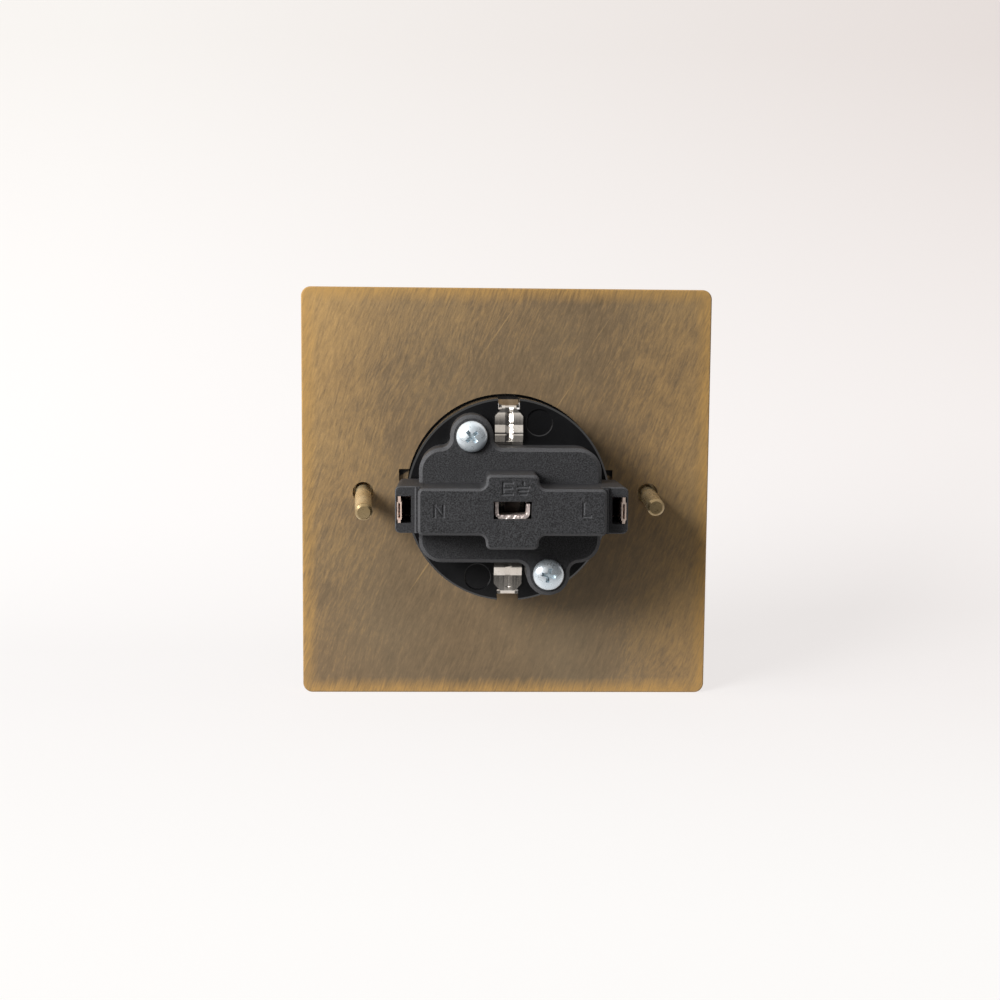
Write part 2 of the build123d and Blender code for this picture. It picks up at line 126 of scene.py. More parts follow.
def spread(tree, value, low, high, to_low=0.0, to_high=1.0):
    """Maps a value from one range to another."""
    node = add(tree, "ShaderNodeMapRange")
    for name, number in (("Value", value), ("From Min", low), ("From Max", high),
                         ("To Min", to_low), ("To Max", to_high)):
        wire(tree, node.inputs[name], number)
    return node.outputs["Result"]


def spread_mm(tree, place, ends, to_low=0.0, to_high=1.0):
    """Maps a place between two ends, given in mm, to a range."""
    return spread(tree, place, ends[0] * MM, ends[1] * MM, to_low, to_high)


def blend_colours(tree, amount, first, second):
    node = add(tree, "ShaderNodeMix", data_type="RGBA", blend_type="MIX")
    wire(tree, node.inputs[0], amount)
    wire(tree, node.inputs[6], first)
    wire(tree, node.inputs[7], second)
    return node.outputs[2]


def ramp(tree, value, *stops):
    """A colour ramp with stops of place and colour."""
    node = add(tree, "ShaderNodeValToRGB")
    elements = node.color_ramp.elements
    for number, (place, colour) in enumerate(stops):
        stop = elements[number] if number < 2 else elements.new(place)
        stop.position = place
        stop.color = colour
    wire(tree, node.inputs[0], value)
    return node.outputs[0]


def noise(tree, place, size, detail=3.0, rough=0.55):
    node = add(tree, "ShaderNodeTexNoise")
    wire(tree, node.inputs["Vector"], place)
    wire(tree, node.inputs["Scale"], size)
    node.inputs["Detail"].default_value = detail
    node.inputs["Roughness"].default_value = rough
    return node.outputs["Fac"]


def split(tree, vector):
    """The X, Y and Z of a vector."""
    parts = add(tree, "ShaderNodeSeparateXYZ")
    wire(tree, parts.inputs[0], vector)
    return [parts.outputs[axis] for axis in "XYZ"]


def start_group(name, inputs, outputs):
    """An empty node group with named sockets."""
    group = bpy.data.node_groups.new(name, "ShaderNodeTree")
    for label, kind in inputs:
        group.interface.new_socket(label, in_out="INPUT", socket_type=kind)
    for label in outputs:
        group.interface.new_socket(label, in_out="OUTPUT", socket_type="NodeSocketFloat")
    return group, add(group, "NodeGroupInput"), add(group, "NodeGroupOutput")


def use_group(tree, group, **values):
    node = add(tree, "ShaderNodeGroup", node_tree=group)
    for name, value in values.items():
        wire(tree, node.inputs[name], value)
    return node


# Surface effects that several finishes share

PLACE_AND_SIZE = [("Place", "NodeSocketVector"), ("Size", "NodeSocketFloat")]
CLOUDS_TO_GRAIN = 0.03
SPECKS_TO_PATCHES = 14.0


def make_brush_lines():
    """Long fine lines left by a brush or a rolling mill, in one direction round the Y axis."""
    group, given, out = start_group(
        "brush_lines",
        [("Place", "NodeSocketVector"), ("Turn", "NodeSocketFloat"),
         ("Across", "NodeSocketFloat"), ("Along", "NodeSocketFloat")], ["Lines"])
    turned = add(group, "ShaderNodeVectorRotate", rotation_type="Y_AXIS")
    wire(group, turned.inputs["Vector"], given.outputs["Place"])
    wire(group, turned.inputs["Angle"], given.outputs["Turn"])
    stretch = add(group, "ShaderNodeCombineXYZ")
    for axis, count in (("X", "Across"), ("Y", "Across"), ("Z", "Along")):
        wire(group, stretch.inputs[axis], given.outputs[count])
    scaled = add(group, "ShaderNodeVectorMath", operation="MULTIPLY")
    wire(group, scaled.inputs[0], turned.outputs[0])
    wire(group, scaled.inputs[1], stretch.outputs[0])
    wire(group, out.inputs["Lines"], noise(group, scaled.outputs[0], 1.0, 3.0, 0.6))
    return group


def make_moulded_grain():
    """Fine grain of a textured mould, with slow clouds of lighter and darker plastic."""
    group, given, out = start_group("moulded_grain", PLACE_AND_SIZE, ["Grain", "Clouds"])
    place, size = given.outputs["Place"], given.outputs["Size"]
    wire(group, out.inputs["Grain"], noise(group, place, size, 2.0, 0.65))
    slow = maths(group, "MULTIPLY", size, CLOUDS_TO_GRAIN)
    wire(group, out.inputs["Clouds"], noise(group, place, slow, 2.0, 0.5))
    return group


def make_tarnish():
    """Soft patches and small dark specks on metal that has been handled."""
    group, given, out = start_group("tarnish", PLACE_AND_SIZE, ["Patches", "Specks"])
    place, size = given.outputs["Place"], given.outputs["Size"]
    patches = noise(group, place, size, 4.0, 0.6)
    wire(group, out.inputs["Patches"], spread(group, patches, 0.32, 0.68))
    close = maths(group, "MULTIPLY", size, SPECKS_TO_PATCHES)
    specks = noise(group, place, close, 2.0, 0.7)
    wire(group, out.inputs["Specks"], spread(group, specks, 0.62, 0.72))
    return group


BRUSH_LINES = make_brush_lines()
MOULDED_GRAIN = make_moulded_grain()
TARNISH = make_tarnish()


def new_finish(name, metallic, specular=0.5):
    """A material with its shader, its tree and the place on the piece."""
    finish = bpy.data.materials.new(name)
    finish.use_nodes = True
    tree = finish.node_tree
    shader = tree.nodes["Principled BSDF"]
    shader.inputs["Metallic"].default_value = metallic
    shader.inputs["Specular IOR Level"].default_value = specular
    place = add(tree, "ShaderNodeTexCoord").outputs["Object"]
    return finish, tree, shader, place


def wired(shader, name):
    """What is already wired to an input of the shader."""
    return shader.inputs[name].links[0].from_socket


def set_relief(tree, shader, height, strength, deep):
    """Relief on the surface. A second call adds to the first."""
    relief = add(tree, "ShaderNodeBump")
    relief.inputs["Strength"].default_value = strength
    relief.inputs["Distance"].default_value = deep
    wire(tree, relief.inputs["Height"], height)
    for link in shader.inputs["Normal"].links:
        wire(tree, relief.inputs["Normal"], link.from_socket)
    wire(tree, shader.inputs["Normal"], relief.outputs["Normal"])


# Brushed brass of the plate, with places in mm from its middle

BRUSH_SLANT = math.radians(18)
# Turn, then closeness across and along, of the fine, broad and crossing lines
BRUSHES = ((BRUSH_SLANT, 2800.0, 330.0), (BRUSH_SLANT, 760.0, 110.0), (2 * BRUSH_SLANT, 2300.0, 210.0))
BRUSH_SWAY = 2.5 * MM
# Shares of those lines, the mottle and the patches in the tone
PLATE_SHARES = (0.24, 0.2, 0.15, 0.11, 0.08)
PLATE_TONES = ((0.3, tone(96, 82, 62)), (0.48, tone(130, 108, 80)), (0.76, tone(200, 160, 100)))
# Places between which the plate gets lighter, and how much lighter it is at each
CORNER_LIGHTER = (((25, 80), 0.0, 0.14), ((-50, -75), 0.0, 0.07))
SIDE_LIGHTER = (((24, 42), 0.0, 0.08), ((-18, -38), 0.0, 0.1))
BOTTOM_DARKER = ((-15, -38), 0.08, 0.03)
RIM = (41.2, 43.8)
RIM_RAGGED = 3.0 * MM
SEAT_SLOPE = 0.61
SEAT_RISE = (16.9, 17.3)
SEAT_MOUTH = (-0.2, -0.5)
SEAT_FLOOR = (-1.5, -1.3)
SEAT_REACH = (23.5, 23.3)


def brush_layers(tree, place):
    """Fine, broad and crossing brush lines, which sway a little."""
    sway = add(tree, "ShaderNodeVectorMath", operation="MULTIPLY_ADD")
    wire(tree, sway.inputs[0], noise(tree, place, 45.0, 1.0))
    sway.inputs[1].default_value = (BRUSH_SWAY, 0.0, 0.0)
    wire(tree, sway.inputs[2], place)
    bent = sway.outputs[0]
    return [use_group(tree, BRUSH_LINES, Place=bent, Turn=turn, Across=across, Along=along).outputs[0]
            for turn, across, along in BRUSHES]


def lighter_places(tree, left, up):
    """How much lighter the plate is towards its corners, sides and lower edge."""
    diagonal = maths(tree, "ADD", left, up)
    return [spread_mm(tree, place, *lift)
            for place, lifts in ((diagonal, CORNER_LIGHTER), (left, SIDE_LIGHTER), (up, [BOTTOM_DARKER]))
            for lift in lifts]


def painted_seat_shadow(tree, left, back, up, reach):
    """Painted shadow: one on the upper slopes inside the two seats of the insert's hooks, where their
    walls would shade the floor, zero elsewhere.
    """
    sideways = maths(tree, "MULTIPLY", maths(tree, "ABSOLUTE", left), SEAT_SLOPE)
    shadow_amount = spread_mm(tree, maths(tree, "ADD", up, sideways), SEAT_RISE)
    for place, ends in ((back, SEAT_MOUTH), (back, SEAT_FLOOR), (reach, SEAT_REACH)):
        shadow_amount = maths(tree, "MULTIPLY", shadow_amount, spread_mm(tree, place, ends))
    return shadow_amount


def antique_brass():
    """Brushed brass plate: brown antiqued middle, lighter towards the corners and sides and darker
    towards the bottom, gold where the rims are worn.
    """
    finish, tree, shader, place = new_finish("antique_brass", 0.3)
    left, back, up = split(tree, place)
    fine, broad, cross = brush_layers(tree, place)
    mottle = use_group(tree, MOULDED_GRAIN, Place=place, Size=1000.0)
    patches = use_group(tree, TARNISH, Place=place, Size=60.0).outputs["Patches"]
    layers = (fine, broad, cross, mottle.outputs["Grain"], patches)
    shares = [maths(tree, "MULTIPLY", layer, share) for layer, share in zip(layers, PLATE_SHARES)]
    colour = ramp(tree, total(tree, lighter_places(tree, left, up) + shares), *PLATE_TONES)
    grey = spread(tree, mottle.outputs["Clouds"], 0.4, 0.7, 0.0, 0.3)
    colour = blend_colours(tree, grey, colour, tone(122, 111, 90))
    long = use_group(tree, BRUSH_LINES, Place=place, Turn=1.9 * BRUSH_SLANT, Across=1100.0, Along=14.0)
    scratches = spread(tree, long.outputs[0], 0.68, 0.74, 0.0, 0.4)
    colour = blend_colours(tree, scratches, colour, tone(198, 162, 108))
    reach = maths(tree, "MAXIMUM", maths(tree, "ABSOLUTE", left), maths(tree, "ABSOLUTE", up))
    ragged = maths(tree, "ADD", reach, maths(tree, "MULTIPLY", broad, RIM_RAGGED))
    brushed = spread(tree, fine, 0.35, 0.6, 0.35, 0.8)
    rim = maths(tree, "MULTIPLY", spread_mm(tree, ragged, RIM), brushed, True)
    colour = blend_colours(tree, rim, colour, tone(190, 148, 84))
    # Painted shadow in the upper corners of the two seats
    colour = blend_colours(tree, painted_seat_shadow(tree, left, back, up, reach), colour, tone(18, 14, 10))
    wire(tree, shader.inputs["Base Color"], colour)
    wire(tree, shader.inputs["Roughness"], spread(tree, fine, 0.3, 0.7, 0.36, 0.52))
    set_relief(tree, shader, fine, 0.25, 0.03 * MM)
    return finish


# Turned brass of the loose fixing screws

SCREW_TIP = (13.7, 14.0)


def satin_brass():
    """Loose fixing screws: turned brass, a little dull, with painted shade on their ends."""
    finish, tree, shader, place = new_finish("satin_brass", 0.65)
    marks = use_group(tree, TARNISH, Place=place, Size=240.0)
    turned = use_group(tree, BRUSH_LINES, Place=place, Turn=0.0, Across=900.0, Along=4200.0)
    turned = turned.outputs[0]
    colour = ramp(tree, marks.outputs["Patches"],
                  (0.1, tone(216, 194, 150)), (0.9, tone(240, 222, 182)))
    specks = maths(tree, "MULTIPLY", marks.outputs["Specks"], 0.4)
    colour = blend_colours(tree, specks, colour, tone(110, 88, 56))
    _, back, _ = split(tree, place)
    # Painted shade on the end faces of the screws
    tip_shade = spread_mm(tree, back, SCREW_TIP, 0.0, 0.75)
    colour = blend_colours(tree, tip_shade, colour, tone(134, 108, 66))
    wire(tree, shader.inputs["Base Color"], colour)
    wire(tree, shader.inputs["Roughness"], spread(tree, turned, 0.3, 0.7, 0.24, 0.36))
    set_relief(tree, shader, turned, 0.2, 0.02 * MM)
    return finish


# Black and grey mouldings

HIGHLIGHT_FACING = 0.7
HIGHLIGHT_SLACK = 0.16


def matte_black():
    """Terminal cover: black moulding from a spark-eroded mould, with a painted highlight on its edges.
    """
    finish, tree, shader, place = new_finish("matte_black", 0.0, 0.32)
    mould = use_group(tree, MOULDED_GRAIN, Place=place, Size=5000.0)
    grain = mould.outputs["Grain"]
    colour = ramp(tree, grain, (0.37, tone(12, 12, 13)), (0.65, tone(66, 66, 68)))
    clouds = spread(tree, mould.outputs["Clouds"], 0.3, 0.7, 0.0, 0.25)
    colour = blend_colours(tree, clouds, colour, tone(34, 34, 37))
    _, facing_back, _ = split(tree, add(tree, "ShaderNodeTexCoord").outputs["Normal"])
    # Painted highlight on chamfers and groove walls that face halfway towards the back
    edges = maths(tree, "MULTIPLY", near_to(tree, facing_back, HIGHLIGHT_FACING, HIGHLIGHT_SLACK),
                  spread(tree, grain, 0.3, 0.7, 0.3, 0.75))
    colour = blend_colours(tree, edges, colour, tone(90, 90, 92))
    wire(tree, shader.inputs["Base Color"], colour)
    wire(tree, shader.inputs["Roughness"], spread(tree, grain, 0.3, 0.7, 0.5, 0.66))
    set_relief(tree, shader, grain, 0.8, 0.1 * MM)
    return finish


def gloss_black():
    """Round insert: polished black moulding, faintly wavy and smeared."""
    finish, tree, shader, place = new_finish("gloss_black", 0.0, 0.55)
    clouds = use_group(tree, MOULDED_GRAIN, Place=place, Size=2600.0).outputs["Clouds"]
    smears = use_group(tree, TARNISH, Place=place, Size=130.0).outputs["Patches"]
    colour = ramp(tree, clouds, (0.3, tone(11, 11, 12)), (0.7, tone(19, 19, 20)))
    wire(tree, shader.inputs["Base Color"], colour)
    wire(tree, shader.inputs["Roughness"], spread(tree, smears, 0.0, 1.0, 0.16, 0.27))
    set_relief(tree, shader, clouds, 0.12, 0.05 * MM)
    return finish


def shutter_plastic():
    """Shutter: smooth dark grey moulding."""
    finish, tree, shader, place = new_finish("shutter_plastic", 0.0, 0.45)
    mould = use_group(tree, MOULDED_GRAIN, Place=place, Size=3000.0)
    grain = mould.outputs["Grain"]
    colour = ramp(tree, mould.outputs["Clouds"], (0.3, tone(50, 50, 53)), (0.7, tone(64, 64, 67)))
    wire(tree, shader.inputs["Base Color"], colour)
    wire(tree, shader.inputs["Roughness"], spread(tree, grain, 0.3, 0.7, 0.34, 0.46))
    set_relief(tree, shader, grain, 0.2, 0.03 * MM)
    return finish


# Plated metals, with places on the strap and the cover screws in mm from the plate's middle

PLATED = 0.92
STRAP_GROOVE = (0.1, 0.8)
STRAP_GROOVED = (9.5, 10.5)
STRAP_CURVE = (15.2, 17.6)
STRAP_STEP = (11.75, 13.3)
TONGUE_SHADE = (20.0, 23.0)
TONGUE_END = (30.0, 31.0)
TONGUE_PLATED = 0.72
SCREW_AT = (7.5, 13.35)
RECESS_REACH = 2.0
RECESS_SHADE = (27.7, 27.2)


def plated_metal(name, dark, light, low, high, across, along):
    """Bright rolled strip: lines of the mill, soft patches and a few specks."""
    finish, tree, shader, place = new_finish(name, PLATED)
    lines = use_group(tree, BRUSH_LINES, Place=place, Turn=0.0, Across=across, Along=along).outputs[0]
    marks = use_group(tree, TARNISH, Place=place, Size=190.0)
    colour = ramp(tree, marks.outputs["Patches"], (0.0, dark), (1.0, light))
    specks = maths(tree, "MULTIPLY", marks.outputs["Specks"], 0.35)
    colour = blend_colours(tree, specks, colour, tone(92, 88, 82))
    wire(tree, shader.inputs["Base Color"], colour)
    wire(tree, shader.inputs["Roughness"], spread(tree, lines, 0.3, 0.7, low, high))
    set_relief(tree, shader, lines, 0.15, 0.015 * MM)
    return finish, tree, shader, place


def dull(tree, shader, where, amount):
    """Adds to the shader's roughness in some places."""
    more = maths(tree, "MULTIPLY", where, amount)
    wire(tree, shader.inputs["Roughness"], maths(tree, "ADD", wired(shader, "Roughness"), more))


def grooved_strap():
    """Plated earth strap: pressed grooves, a curved upper end and a dented end on the tongue, painted
    pink-white there as its highlight and reflection, with painted shade inside the tongue.
    """
    finish, tree, shader, place = plated_metal(
        "plated_strap", tone(206, 198, 188), tone(232, 226, 218), 0.12, 0.24, 2600.0, 160.0)
    across, back, along = split(tree, place)
    groove = spread_mm(tree, maths(tree, "ABSOLUTE", across), STRAP_GROOVE)
    grooved = spread_mm(tree, maths(tree, "ABSOLUTE", along), STRAP_GROOVED)
    set_relief(tree, shader, maths(tree, "MULTIPLY", groove, grooved), 1.0, 0.25 * MM)
    outer = maths(tree, "POWER", spread_mm(tree, along, STRAP_CURVE), 2.0)
    set_relief(tree, shader, maths(tree, "SUBTRACT", 1.0, outer), 1.0, 0.5 * MM)
    set_relief(tree, shader, spread_mm(tree, along, STRAP_STEP, 1.0, 0.0), 1.0, 1.25 * MM)
    cut_end = spread_mm(tree, back, TONGUE_END)
    dull(tree, shader, cut_end, 0.2)
    dents = maths(tree, "MULTIPLY", noise(tree, place, 1500.0, 1.0), cut_end)
    set_relief(tree, shader, dents, 1.0, 0.3 * MM)
    shade = spread_mm(tree, back, TONGUE_SHADE)
    colour = blend_colours(tree, shade, wired(shader, "Base Color"), tone(52, 44, 40))
    # Painted highlight and reflection: the tongue's dented end is coloured pink-white
    colour = blend_colours(tree, cut_end, colour, tone(252, 236, 229))
    wire(tree, shader.inputs["Base Color"], colour)
    wire(tree, shader.inputs["Metallic"], spread(tree, cut_end, 0.0, 1.0, PLATED, TONGUE_PLATED))
    return finish


def zinc_screw():
    """Plated cover screws, which lie opposite each other, duller inside the cross recess and a little
    darker there as painted shade.
    """
    finish, tree, shader, place = plated_metal(
        "zinc_steel", tone(214, 226, 234), tone(242, 248, 252), 0.24, 0.38, 1500.0, 1500.0)
    across, back, along = split(tree, place)
    offset = add(tree, "ShaderNodeCombineXYZ")
    for axis, value, middle in (("X", across, SCREW_AT[0]), ("Z", along, SCREW_AT[1])):
        far = maths(tree, "ABSOLUTE", value)
        wire(tree, offset.inputs[axis], maths(tree, "SUBTRACT", far, middle * MM))
    radius = add(tree, "ShaderNodeVectorMath", operation="LENGTH")
    wire(tree, radius.inputs[0], offset.outputs[0])
    inside = maths(tree, "LESS_THAN", radius.outputs["Value"], RECESS_REACH * MM)
    sunk = maths(tree, "MULTIPLY", inside, spread_mm(tree, back, RECESS_SHADE))
    # Painted shade inside the cross recess
    colour = blend_colours(tree, sunk, wired(shader, "Base Color"), tone(214, 226, 232))
    wire(tree, shader.inputs["Base Color"], colour)
    shader.inputs["Metallic"].default_value = 0.6
    dull(tree, shader, sunk, 0.12)
    return finish


# Which piece has which finish

COVER_FINISH = matte_black()
ZINC = zinc_screw()
NICKEL = grooved_strap()
CONTACT = plated_metal(
    "contact_brass", tone(238, 208, 190), tone(254, 234, 220), 0.42, 0.58, 2400.0, 200.0)[0]
# Painted shade: the springs, seen only through the cover's windows, are coloured dark grey
SHADED_SPRING = plated_metal(
    "spring_steel", tone(66, 64, 62), tone(98, 96, 94), 0.3, 0.44, 2400.0, 260.0)[0]
BRASS_SCREW = satin_brass()

FINISH_OF = {
    "face_plate": antique_brass(),
    "socket_insert": gloss_black(),
    "terminal_cover": COVER_FINISH,
    "earth_strap": NICKEL,
    "neutral_contact": CONTACT,
    "live_contact": CONTACT,
    "neutral_clamp_spring": SHADED_SPRING,
    "live_clamp_spring": SHADED_SPRING,
    "earth_clamp_spring": SHADED_SPRING,
    "shutter_spring": SHADED_SPRING,
    "cover_screw_upper": ZINC,
    "cover_screw_lower": ZINC,
    "plate_screw_left": BRASS_SCREW,
    "plate_screw_right": BRASS_SCREW,
    "shutter": shutter_plastic(),
}


def set_finishes():
    for name, finish in FINISH_OF.items():
        slots = nodes[name].data.materials
        slots.clear()
        slots.append(finish)


# Pieces that stand for CAD nodes with finer shapes

SHARP_FROM = math.radians(32)
MERGE_WITHIN = 0.001 * MM


def show_piece(name, mesh, finish, stands_for):
    """A finished piece on the outlet, with rounded shading between its sharp edges."""
    mesh.name = name
    if "custom_normal" in mesh.attributes:
        mesh.attributes.remove(mesh.attributes["custom_normal"])
    mesh.shade_smooth()
    mesh.set_sharp_from_angle(angle=SHARP_FROM)
    mesh.materials.clear()
    mesh.materials.append(finish)
    piece = bpy.data.objects.new(name, mesh)
    scene.collection.objects.link(piece)
    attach(piece, "outlet")
    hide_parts(stands_for)
    return piece


def held_mesh(shape):
    """A passing holder for a finished bmesh."""
    mesh = bpy.data.meshes.new("blank")
    shape.to_mesh(mesh)
    shape.free()
    holder = bpy.data.objects.new("blank", mesh)
    scene.collection.objects.link(holder)
    return holder


def merged_copy(node):
    """A bmesh of a CAD node with its doubled corners merged."""
    shape = bmesh.new()
    shape.from_mesh(nodes[node].data)
    bmesh.ops.remove_doubles(shape, verts=shape.verts[:], dist=MERGE_WITHIN)
    bmesh.ops.recalc_face_normals(shape, faces=shape.faces[:])
    return shape


def carved(solid, cutters):
    """The mesh of one bmesh with others cut out of it, one after the other."""
    body = held_mesh(solid)
    tools = [held_mesh(cutter) for cutter in cutters]
    for tool in tools:
        cut = body.modifiers.new("cut", "BOOLEAN")
        cut.operation = "DIFFERENCE"
        cut.solver = "EXACT"
        cut.object = tool
    depsgraph = bpy.context.evaluated_depsgraph_get()
    result = bpy.data.meshes.new_from_object(body.evaluated_get(depsgraph))
    for holder in (body, *tools):
        bpy.data.objects.remove(holder)
    return result


# Engraved marks on the ridge: middle in X and Z, width and height, and lines in a unit square

MARK_STROKE = 0.58 * MM
MARK_BOTTOM = 0.06 * MM
MARK_DEEP = 0.3 * MM
RIDGE_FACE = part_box("terminal_cover")[1][1]
MARKS = (
    ((13.6, 0.15), (1.6, 2.0), [[(0, 0), (0, 1), (1, 0), (1, 1)]]),
    ((-13.75, 0.5), (1.3, 2.4), [[(0, 1), (0, 0), (1, 0)]]),
    ((0.95, 4.45), (1.7, 2.15), [[(1, 1), (0, 1), (0, 0), (1, 0)], [(0, 0.5), (0.9, 0.5)]]),
    ((-1.95, 4.5), (1.9, 2.2),
     [[(0.5, 1), (0.5, 0.62)], [(0, 0.62), (1, 0.62)], [(0.12, 0.31), (0.88, 0.31)],
      [(0.24, 0), (0.76, 0)]]),
)


def mark_stroke(start, end):
    """A groove with sloping sides in the ridge's face, between two places in X and Z."""
    run = end - start
    middle = (start + end) / 2
    turn = Matrix.Rotation(-math.atan2(run.y, run.x), 4, "Y")
    place = Matrix.Translation((middle.x, RIDGE_FACE, middle.y))
    cutter = bmesh.new()
    block = bmesh.ops.create_cube(cutter, size=1.0)["verts"]
    for way, wide in ((-1, MARK_BOTTOM), (1, 2 * MARK_STROKE - MARK_BOTTOM)):
        bmesh.ops.scale(cutter, vec=(run.length + wide, 2 * MARK_DEEP, wide),
                        verts=[v for v in block if v.co.y * way > 0])
    bmesh.ops.transform(cutter, matrix=place @ turn, verts=block)
    return cutter


def engraved_cover():
    """The terminal cover with its marks. A mark's lines run to the right, which is towards -X."""
    cover = merged_copy("terminal_cover")
    strokes = []
    for (x, z), (wide, tall), lines in MARKS:
        for line in lines:
            points = [Vector((x - (right - 0.5) * wide, z + (up - 0.5) * tall)) * MM
                      for right, up in line]
            strokes += [mark_stroke(start, end) for start, end in zip(points, points[1:])]
    mesh = carved(cover, strokes)
    show_piece("engraved_cover", mesh, COVER_FINISH, "terminal_cover")


# Domed screws of the terminal cover, with a cross recess that narrows as it goes in

HEAD_SIDES = 48
HEAD_RINGS = 24
HEAD_DOME = 1.4 * MM
COVER_TOP = 26.16 * MM
SHANK_SIDES = 24
SHANK_R = 1.45 * MM
RECESS_LONG = 3.8 * MM
RECESS_WIDE = 0.95 * MM
RECESS_DEEP = 1.1 * MM
RECESS_TAPER = 0.55
RECESS_TURNS = {"cover_screw_upper": 42, "cover_screw_lower": -12}
FACING_UP = Matrix.Rotation(math.radians(-90), 4, "X")


def screw_blank(low, high):
    """A screw between two corners of its box: half an ellipsoid on a short skirt, and a plain shank."""
    middle = (low + high) / 2
    head_r = (high.x - low.x) / 2
    rim_y = high.y - HEAD_DOME
    screw = bmesh.new()
    place = Matrix.Translation((middle.x, rim_y, middle.z)) @ FACING_UP
    bmesh.ops.create_uvsphere(screw, u_segments=HEAD_SIDES, v_segments=HEAD_RINGS, radius=1.0,
                              matrix=place @ Matrix.Diagonal((head_r, head_r, HEAD_DOME, 1)))
    bmesh.ops.bisect_plane(screw, geom=screw.verts[:] + screw.edges[:] + screw.faces[:],
                           dist=MERGE_WITHIN, plane_co=(0, rim_y, 0), plane_no=(0, 1, 0),
                           clear_inner=True)
    rim = [e for e in screw.edges if e.is_boundary]
    skirt = bmesh.ops.extrude_edge_only(screw, edges=rim)["geom"]
    foot = [v for v in skirt if isinstance(v, bmesh.types.BMVert)]
    bmesh.ops.translate(screw, verts=foot, vec=(0, COVER_TOP - rim_y, 0))
    bmesh.ops.holes_fill(screw, edges=[e for e in screw.edges if e.is_boundary], sides=0)
    bmesh.ops.recalc_face_normals(screw, faces=screw.faces[:])
    shank = Matrix.Translation((middle.x, (low.y + COVER_TOP) / 2, middle.z)) @ FACING_UP
    bmesh.ops.create_cone(screw, cap_ends=True, segments=SHANK_SIDES, radius1=SHANK_R,
                          radius2=SHANK_R, depth=COVER_TOP - low.y, matrix=shank)
    return screw


def recess_arm(top, turn):
    """One tapered bar of the cross recess, through the top of a screw's head."""
    arm = bmesh.new()
    spin = Matrix.Rotation(math.radians(turn), 4, "Y")
    size = Matrix.Diagonal((RECESS_LONG, 2 * RECESS_DEEP, RECESS_WIDE, 1))
    block = bmesh.ops.create_cube(arm, size=1.0)["verts"]
    bmesh.ops.scale(arm, vec=(RECESS_TAPER, 1, RECESS_TAPER), verts=[v for v in block if v.co.y < 0])
    bmesh.ops.transform(arm, matrix=Matrix.Translation(top) @ spin @ size, verts=block)
    return arm


def domed_screw(node, turn):
    low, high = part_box(node)
    middle = (low + high) / 2
    top = (middle.x, high.y, middle.z)
    arms = [recess_arm(top, turn + quarter) for quarter in (0, 90)]
    mesh = carved(screw_blank(low, high), arms)
    show_piece(node.replace("cover_screw", "domed_screw"), mesh, ZINC, node)


# Bow spring of the shutter, shown with a mesh of its own. In the outlet it is pressed flat against the
# housing above it as the shutter slides up.


def bow_spring():
    mesh = bpy.data.meshes.new("bow_spring")
    bow = merged_copy("shutter_spring")
    bow.to_mesh(mesh)
    bow.free()
    spring = show_piece("bow_spring", mesh, SHADED_SPRING, "shutter_spring")
    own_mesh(spring)


# Stage: pale floor that sweeps up behind, one large soft lamp and a pale surround

FLOOR_Z = -43.0 * MM
FLOOR_SIDE = 3.0
FLOOR_FRONT = 2.5
SWEEP_BACK = -0.045
SWEEP_R = 0.22
SWEEP_STEPS = 24
WALL_TALL = 1.6
# Painted shade: the glow is darker and pinker on the right and darker higher up
# The right of the photograph comes first in these two pairs
PAPER_LOW = ((0.755, 0.715, 0.7, 1.0), (0.795, 0.775, 0.765, 1.0))
PAPER_HIGH = ((0.615, 0.555, 0.53, 1.0), (0.7, 0.67, 0.64, 1.0))
PAPER_NEAR = (0.815, 0.8, 0.785, 1.0)
PAPER_MATT = 0.2
PAPER_DIMMED = 0.95
LAMP_AT = (0.99, 0.93, 0.54)
LAMP_TARGET = (0, 0.01, 0)
LAMP_SIZE = 0.7
LAMP_POWER = 29.0
SURROUND_COLOUR = (1.0, 0.99, 0.98, 1.0)
SURROUND_POWER = 0.29
SURROUND_DARK_WAY = (-0.6, 0.8, -0.1)


def seen_directly(tree):
    """One for rays from the camera and from mirror-like or clear surfaces, zero for others."""
    path = add(tree, "ShaderNodeLightPath").outputs
    seen = maths(tree, "MAXIMUM", path["Is Camera Ray"], path["Is Glossy Ray"])
    return maths(tree, "MAXIMUM", seen, path["Is Transmission Ray"])


def mix_shaders(tree, amount, first, second):
    node = add(tree, "ShaderNodeMixShader")
    for socket, value in zip(node.inputs, (amount, first, second)):
        wire(tree, socket, value)
    return node.outputs[0]


def sweep_mesh():
    """A wide floor that bends up into a wall behind the part, facing up and to the camera."""
    sweep = bmesh.new()
    points = [sweep.verts.new((-FLOOR_SIDE, y, FLOOR_Z)) for y in (FLOOR_FRONT, SWEEP_BACK)]
    sweep.edges.new(points)
    bend = bmesh.ops.spin(sweep, geom=[points[1]], cent=(-FLOOR_SIDE, SWEEP_BACK, FLOOR_Z + SWEEP_R),
                          axis=(1, 0, 0), angle=math.radians(-90), steps=SWEEP_STEPS,
                          use_duplicate=False)
    last = [v for v in bend["geom_last"] if isinstance(v, bmesh.types.BMVert)][0]
    top = bmesh.ops.extrude_vert_indiv(sweep, verts=[last])["verts"]
    bmesh.ops.translate(sweep, verts=top, vec=(0, 0, WALL_TALL))
    wall = bmesh.ops.extrude_edge_only(sweep, edges=sweep.edges[:])
    side = [v for v in wall["geom"] if isinstance(v, bmesh.types.BMVert)]
    bmesh.ops.translate(sweep, verts=side, vec=(2 * FLOOR_SIDE, 0, 0))
    bmesh.ops.recalc_face_normals(sweep, faces=sweep.faces[:])
    bmesh.ops.reverse_faces(sweep, faces=sweep.faces[:])
    mesh = bpy.data.meshes.new("floor")
    sweep.to_mesh(mesh)
    sweep.free()
    mesh.shade_smooth()
    return mesh


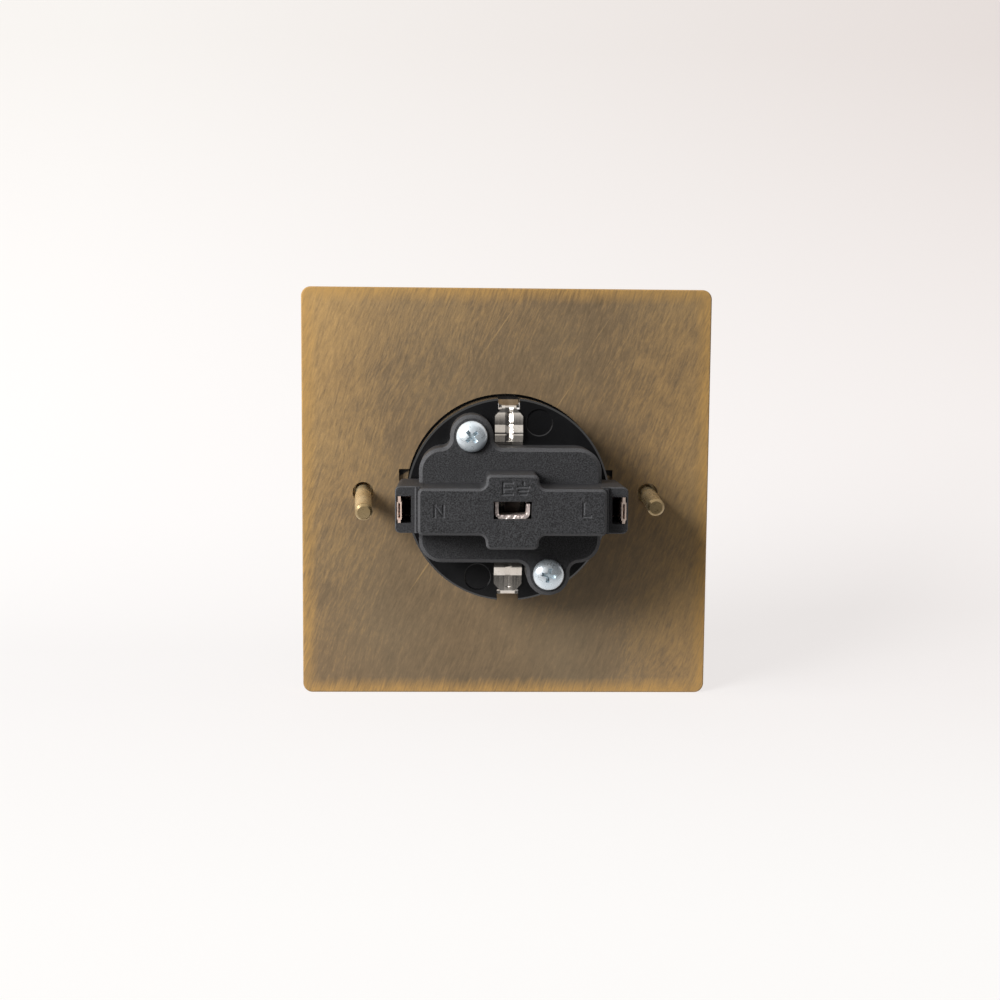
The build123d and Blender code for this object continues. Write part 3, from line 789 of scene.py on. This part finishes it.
def pale_sweep():
    """Paper that glows where it is seen, with painted shade that darkens and tints its glow towards the
    right and higher up, takes soft shadows and is clear from behind.
    """
    paint = bpy.data.materials.new("pale_sweep")
    paint.use_nodes = True
    tree = paint.node_tree
    tree.nodes.remove(tree.nodes["Principled BSDF"])
    left, near, up = split(tree, add(tree, "ShaderNodeTexCoord").outputs["Object"])
    side = spread(tree, left, -0.2, 0.15)
    low = blend_colours(tree, side, *PAPER_LOW)
    low = blend_colours(tree, spread(tree, near, 0.0, 0.12), low, PAPER_NEAR)
    high = blend_colours(tree, side, *PAPER_HIGH)
    glow = add(tree, "ShaderNodeEmission")
    wire(tree, glow.inputs["Color"], blend_colours(tree, spread(tree, up, -0.02, 0.15), low, high))
    mirrored = add(tree, "ShaderNodeLightPath").outputs["Is Glossy Ray"]
    dim = maths(tree, "MULTIPLY", mirrored, spread(tree, near, 0.04, 0.15, 0.0, PAPER_DIMMED))
    wire(tree, glow.inputs["Strength"], maths(tree, "SUBTRACT", seen_directly(tree), dim))
    matt = add(tree, "ShaderNodeBsdfDiffuse")
    wire(tree, matt.inputs["Color"], spread(tree, dim, 0.0, 1.0, PAPER_MATT, 0.0))
    both = add(tree, "ShaderNodeAddShader")
    wire(tree, both.inputs[0], matt.outputs[0])
    wire(tree, both.inputs[1], glow.outputs[0])
    behind = add(tree, "ShaderNodeNewGeometry").outputs["Backfacing"]
    clear = add(tree, "ShaderNodeBsdfTransparent").outputs[0]
    paper = mix_shaders(tree, behind, both.outputs[0], clear)
    wire(tree, tree.nodes["Material Output"].inputs["Surface"], paper)
    return paint


def set_floor():
    mesh = sweep_mesh()
    mesh.materials.append(pale_sweep())
    floor = bpy.data.objects.new("floor", mesh)
    scene.collection.objects.link(floor)


def set_lamp():
    lamp = bpy.data.lights.new("window_light", "AREA")
    lamp.shape = "DISK"
    lamp.size = LAMP_SIZE
    lamp.energy = LAMP_POWER
    holder = bpy.data.objects.new("window_light", lamp)
    way = Vector(LAMP_TARGET) - Vector(LAMP_AT)
    turn = way.to_track_quat("-Z", "Y").to_matrix().to_4x4()
    holder.matrix_world = Matrix.Translation(LAMP_AT) @ turn
    scene.collection.objects.link(holder)


def set_surround():
    """Soft light all round, seen as a pale wall, with a dark side that only mirrors see."""
    world = bpy.data.worlds.new("surround")
    world.use_nodes = True
    scene.world = world
    tree = world.node_tree
    soft = tree.nodes["Background"]
    soft.inputs["Color"].default_value = SURROUND_COLOUR
    soft.inputs["Strength"].default_value = SURROUND_POWER
    facing = add(tree, "ShaderNodeVectorMath", operation="DOT_PRODUCT")
    wire(tree, facing.inputs[0], add(tree, "ShaderNodeTexCoord").outputs["Generated"])
    facing.inputs[1].default_value = SURROUND_DARK_WAY
    mirrored = add(tree, "ShaderNodeLightPath").outputs["Is Glossy Ray"]
    dark = maths(tree, "MULTIPLY", spread(tree, facing.outputs["Value"], 0.45, 0.8), mirrored)
    pale = add(tree, "ShaderNodeBackground")
    wire(tree, pale.inputs["Color"], blend_colours(tree, dark, tone(250, 248, 246), tone(48, 48, 50)))
    pale.inputs["Strength"].default_value = 1.0
    both = mix_shaders(tree, seen_directly(tree), soft.outputs[0], pale.outputs[0])
    wire(tree, tree.nodes["World Output"].inputs["Surface"], both)


scene.view_settings.view_transform = "Standard"
set_camera()
set_finishes()
engraved_cover()
for screw_node, recess_turn in RECESS_TURNS.items():
    domed_screw(screw_node, recess_turn)
bow_spring()
set_floor()
set_surround()
set_lamp()
